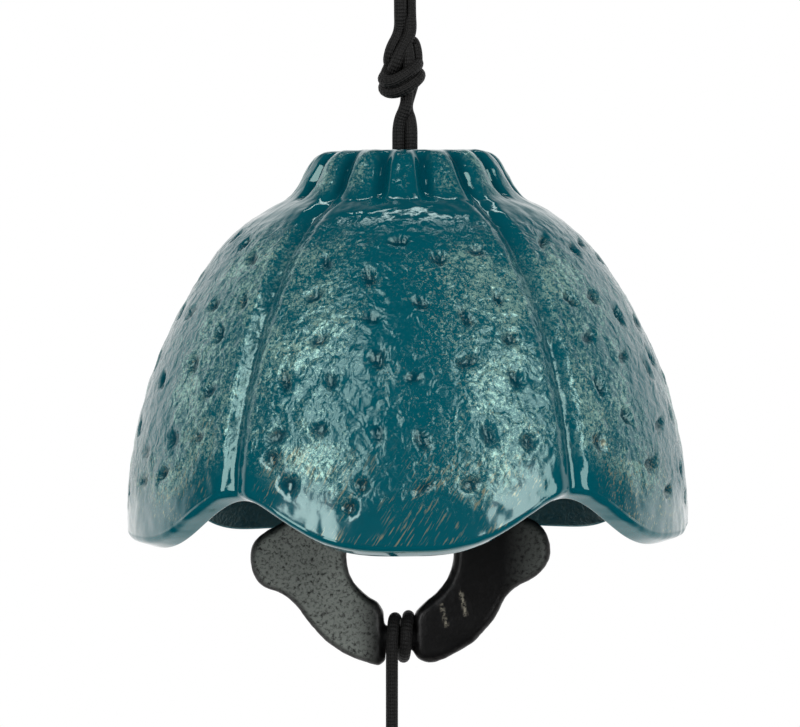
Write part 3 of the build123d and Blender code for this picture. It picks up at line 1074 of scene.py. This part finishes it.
@dataclass
class StopKnot:
    """The knot under the crown, which the bell rests on."""

    centre: tuple[float, float, float] = (0.0, 0.0, -43.792)
    diameter: float = 1.75

    def build(self, material: bpy.types.Material) -> bpy.types.Object:
        """The knot's mesh, riding with the doubled cord.

        Args:
            material: the cord's finish.

        Returns:
            The piece.
        """
        line = spline_line(torus_knot(1.8, 0.85, 2.1, self.centre), True, 5)
        piece = corded("stop_knot_turns", [Tube(line, self.diameter, True)], material)
        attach(piece, "crown_cord")
        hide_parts("stop_knot")
        return piece


@dataclass
class Winding:
    """Turns of cord round one of the ring's waists, which end with a pass at its front."""

    waist: tuple[float, float, float]
    rising: bool
    radius: float = 2.795
    pitch: float = 1.95
    quarter_turns: int = 5
    roll: float = 2.5
    steps_per_quarter: int = 3

    def route(self) -> list:
        """The route's points, from the turns' free end."""
        upward = 1 if self.rising else -1
        roll = math.radians(self.roll)
        out = self.radius * 1.03
        count = self.quarter_turns * self.steps_per_quarter
        local = []
        for index in range(-count, 1):
            quarter = index / self.steps_per_quarter
            angle = quarter * math.pi / 2
            local.append(
                (
                    self.pitch * (-0.5 - quarter / 4),
                    -out * math.cos(angle),
                    upward * out * math.sin(angle),
                )
            )
        first = local[0]
        local.insert(0, (first[0], 1.75, first[2]))
        return [
            (
                self.waist[0] + x * math.cos(roll) - z * math.sin(roll),
                self.waist[1] + y,
                self.waist[2] + x * math.sin(roll) + z * math.cos(roll),
            )
            for x, y, z in local
        ]


@dataclass
class ClapperCord:
    """The cord from the stop knot to the turns round the ring's upper waist."""

    diameter: float = 1.75
    top: float = -46.4
    hitch_top: tuple[float, float, float] = (-0.7, 0.0, -70.792)
    waist: tuple[float, float, float] = (-1.2234, 0.0, -83.0034)

    def build(self, material: bpy.types.Material) -> bpy.types.Object:
        """The cord's mesh, which runs between the cord and the clapper.

        Args:
            material: the cord's finish.

        Returns:
            The piece.
        """
        x, y, z = self.hitch_top
        fall = z - self.top
        drop = [(x * share, y, self.top + fall * share) for share in (0.0, 0.3, 0.65, 1.0)]
        led = [(x, y, z - 2.7), (x - 0.5, -1.1, z - 5.9), (x - 1.5, -2.6, z - 9.3)]
        route = drop + led + Winding(self.waist, True).route()[::-1]
        tube = Tube(spline_line(route), self.diameter)
        piece = corded("clapper_cord_and_hitch", [tube], material)
        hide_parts("clapper_cord", "clapper_hitch")
        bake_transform(piece)
        round(tube.length() * MM, 4)
        self.diameter * MM
        (tube.line * MM).tolist()
        return piece


@dataclass
class StripCord:
    """The turns round the ring's lower waist and the cord that runs down from them."""

    diameter: float = 1.75
    waist: tuple[float, float, float] = (-0.1766, 0.0, -106.9806)
    turns_shift: float = -0.65
    exit: tuple[float, float, float] = (-1.8516, -2.795, -111.5256)
    knot_top: float = -125.0256

    def build(self, material: bpy.types.Material) -> bpy.types.Object:
        """The cord's mesh, which runs between the clapper and the strip.

        Args:
            material: the cord's finish.

        Returns:
            The piece.
        """
        x, y, z = self.exit
        drop = [(x, y, height) for height in (z + 1.6, z - 4.0, z - 9.0, self.knot_top - 1.5)]
        turned = (self.waist[0] + self.turns_shift, *self.waist[1:])
        route = Winding(turned, False).route() + drop
        tube = Tube(spline_line(route), self.diameter)
        piece = corded("strip_cord_and_hitch", [tube], material)
        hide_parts("strip_hitch", "strip_cord")
        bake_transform(piece)
        tuple(part * MM for part in self.waist)
        round(tube.length() * MM, 4)
        self.diameter * MM
        (tube.line * MM).tolist()
        return piece


@dataclass
class PaperStrip:
    """The blank paper strip, with the knotted bight that carries it."""

    axis: tuple[float, float] = (-1.8516, -2.795)
    knot_top: float = -125.0256
    knot_height: float = 4.4
    top: float = -131.0256
    width: float = 36.0
    length: float = 104.0
    thickness: float = 0.4
    hole_radius: float = 1.7
    hole_inset: float = 4.6
    curl: float = 1.6
    cells: tuple[int, int] = (24, 70)
    hole_cells: int = 4
    cord_diameter: float = 1.75

    def _sheet(self) -> tuple[np.ndarray, list]:
        """The flat sheet's points across and down, with a round hole, and its faces."""
        wide, long = self.cells
        x = np.linspace(-self.width / 2, self.width / 2, wide + 1)
        z = np.linspace(0, -self.length, long + 1)
        first = (wide - self.hole_cells) // 2
        last = first + self.hole_cells
        row = 1
        z[row : row + self.hole_cells + 1] = np.linspace(-1.6, -2 * self.hole_inset + 1.6, self.hole_cells + 1)
        z[row + self.hole_cells :] = np.linspace(z[row + self.hole_cells], -self.length, long - row - 3)
        points = [(across, down) for down in z for across in x]
        faces = []
        stride = wide + 1
        for line in range(long):
            for column in range(wide):
                if row <= line < row + self.hole_cells and first <= column < last:
                    continue
                corner = line * stride + column
                faces.append((corner, corner + stride, corner + stride + 1, corner + 1))
        span = range(self.hole_cells)
        border = [(row, first + place) for place in span]
        border += [(row + place, last) for place in span]
        border += [(row + self.hole_cells, last - place) for place in span]
        border += [(row + self.hole_cells - place, first) for place in span]
        ring = len(points)
        for line, column in border:
            across, down = x[column], z[line] + self.hole_inset
            reach = math.hypot(across, down)
            points.append((across / reach * self.hole_radius, down / reach * self.hole_radius - self.hole_inset))
        for place, (line, column) in enumerate(border):
            after = (place + 1) % len(border)
            line_after, column_after = border[after]
            faces.append(
                (line * stride + column, ring + place, ring + after, line_after * stride + column_after)
            )
        return np.array(points), faces

    def build(self) -> bpy.types.Object:
        """The strip's mesh, gently curled, riding on the strip."""
        flat, faces = self._sheet()
        across, down = flat[:, 0], flat[:, 1]
        below = step(-down, 8.0, self.length)
        bow = self.curl * below * (np.cos(across / self.width * math.pi) - 0.5)
        sway = -0.9 * below * np.sin(-down / self.length * 1.6 * math.pi)
        points = np.column_stack((across + self.axis[0], self.axis[1] + bow + sway, down + self.top))
        piece = piece_of("paper_strip_sheet", points, faces, HandmadePaper().material("handmade_paper"))
        thicken = piece.modifiers.new("thickness", "SOLIDIFY")
        thicken.thickness = 0.75 * self.thickness * MM
        thicken.offset = 0.0
        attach(piece, "strip")
        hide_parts("paper_strip")
        return piece

    def build_knot(self, material: bpy.types.Material) -> bpy.types.Object:
        """The knot and its bight through the strip's hole, riding on the strip.

        Args:
            material: the cord's finish.

        Returns:
            The piece.
        """
        x, y = self.axis
        middle = self.knot_top - self.knot_height / 2
        leg = self.thickness / 2 + 0.12 + self.cord_diameter / 2
        seat = self.top - self.hole_inset + self.hole_radius - self.cord_diameter / 2 - 0.12
        legs = [(x, y - leg * 0.6, middle), (x, y - leg, middle - 3.2), (x, y - leg, seat - 0.1)]
        route = legs + [(x, y, seat - 1.0)] + [(x, 2 * y - place, z) for _, place, z in reversed(legs)]
        bight = Tube(spline_line(route), self.cord_diameter)
        turns = Tube(
            spline_line(torus_knot(1.05, 0.55, 1.35, (x, y, middle)), True, 5), self.cord_diameter, True
        )
        piece = corded("strip_knot_and_bight", [bight, turns], material)
        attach(piece, "strip")
        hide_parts("strip_knot", "strip_loop")
        return piece


@dataclass
class SoftBox:
    """A soft lamp."""

    name: str
    bearing: float
    distance: float
    height: float
    size: tuple[float, float]
    radiance: float
    mirrored: bool = True

    def place(self, target: Vector) -> None:
        """Stands the lamp in the studio.

        Args:
            target: what it faces.
        """
        turn = math.radians(self.bearing)
        lamp = bpy.data.lights.new(self.name, "AREA")
        lamp.shape = "RECTANGLE"
        lamp.size, lamp.size_y = self.size
        lamp.energy = self.radiance * math.pi * self.size[0] * self.size[1]
        stand = bpy.data.objects.new(self.name, lamp)
        stand.location = target + Vector(
            (self.distance * math.sin(turn), -self.distance * math.cos(turn), self.height)
        )
        stand.rotation_euler = (target - stand.location).to_track_quat("-Z", "Y").to_euler()
        stand.visible_glossy = self.mirrored
        bpy.context.collection.objects.link(stand)


@dataclass
class Studio:
    """A white room with soft lamps, a pale floor and the camera."""

    middle: tuple[float, float, float] = (0.0, 0.0, -0.066)
    camera_distance: float = 0.661
    camera_height: float = -0.0526
    aim: tuple[float, float, float] = (-0.0007, 0.0, -0.0677)
    focal_pixels: float = 4619.0
    picture_width: float = 800.0
    floor_height: float = -0.36
    ambient: float = 0.42

    def build(self) -> None:
        """Sets up the room, the lamps, the floor and the camera."""
        self._camera()
        self._room()
        self._floor()
        for lamp in (
            SoftBox("left_box", -37.0, 0.85, 0.3, (0.28, 1.0), 4.3),
            SoftBox("right_box", 47.0, 0.85, 0.22, (0.34, 0.85), 3.6),
            SoftBox("strip_box", 180.0, 0.34, 0.85, (0.45, 0.06), 4.8),
            SoftBox("top_box", 0.0, 0.1, 0.9, (0.7, 0.6), 0.3, False),
            SoftBox("back_box", 180.0, 0.9, 0.3, (0.9, 0.9), 1.0, False),
        ):
            lamp.place(Vector(self.middle))
        settings = bpy.context.scene.view_settings
        settings.view_transform = "Standard"

    def _camera(self) -> None:
        """The camera, level with the bell's upper half and turned a little down."""
        camera = bpy.data.cameras.new("camera")
        camera.sensor_fit = "HORIZONTAL"
        camera.sensor_width = 36.0
        camera.lens = self.focal_pixels / self.picture_width * camera.sensor_width
        camera.clip_start = 0.01
        eye = bpy.data.objects.new("camera", camera)
        eye.location = (self.aim[0], -self.camera_distance, self.camera_height)
        look = Vector(self.aim) - eye.location
        eye.rotation_euler = look.to_track_quat("-Z", "Y").to_euler()
        bpy.context.collection.objects.link(eye)
        bpy.context.scene.camera = eye

    def _room(self) -> None:
        """White behind the bell and in its gloss, and dimmer towards the camera."""
        world = bpy.data.worlds.new("studio")
        world.use_nodes = True
        bpy.context.scene.world = world
        sheet = Sheet(world.node_tree)
        path = sheet.node("ShaderNodeLightPath", output="Is Camera Ray")
        outputs = path.socket.node.outputs
        glossy = Value(sheet, outputs["Is Glossy Ray"]) + Value(sheet, outputs["Is Transmission Ray"])
        _, depth, rise = sheet.parts(sheet.node("ShaderNodeTexCoord", output="Generated"))
        backdrop = 0.01 + depth.smooth(0.05, 0.5) * rise.smooth(0.85, 0.4)
        strength = path + (1 - path) * (glossy * backdrop + (1 - glossy) * self.ambient)
        shine = sheet.node("ShaderNodeBackground", {}, {"Color": (1, 1, 1, 1), "Strength": strength})
        sheet.node("ShaderNodeOutputWorld", {}, {"Surface": shine})

    def _floor(self) -> None:
        """A plain pale floor below the strip."""
        half = 2000.0
        level = self.floor_height / MM
        corners = [(-half, -half, level), (half, -half, level), (half, half, level), (-half, half, level)]
        material = bpy.data.materials.new("pale_floor")
        material.use_nodes = True
        sheet = Sheet(material.node_tree)
        paint = {"Base Color": (0.9, 0.9, 0.9, 1), "Roughness": 1.0, "Specular IOR Level": 0.0}
        seen = sheet.node("ShaderNodeLightPath", output="Is Camera Ray")
        glow = {"Emission Color": seen, "Emission Strength": 0.32}
        shade = sheet.node("ShaderNodeBsdfPrincipled", {}, {**paint, **glow})
        sheet.node("ShaderNodeOutputMaterial", {}, {"Surface": shade})
        floor = piece_of("floor", np.array(corners), [(0, 1, 2, 3)], material)
        floor.visible_glossy = False


def main() -> None:
    """Builds the dressed bell and its studio."""
    logging.basicConfig(level=logging.INFO, format="%(name)s: %(message)s")
    Studio().build()
    braid = Braid().material("black_braid")
    strip = PaperStrip()
    made = [
        HangingCord().build(braid),
        StopKnot().build(braid),
        BellShell().build(),
        ClapperCord().build(braid),
        ClapperRing().build(),
        StripCord().build(braid),
        strip.build_knot(braid),
        strip.build(),
    ]
    for piece in made:
        LOG.info("%s: %d points", piece.name, len(piece.data.vertices))


if __name__ == "__main__":
    main()
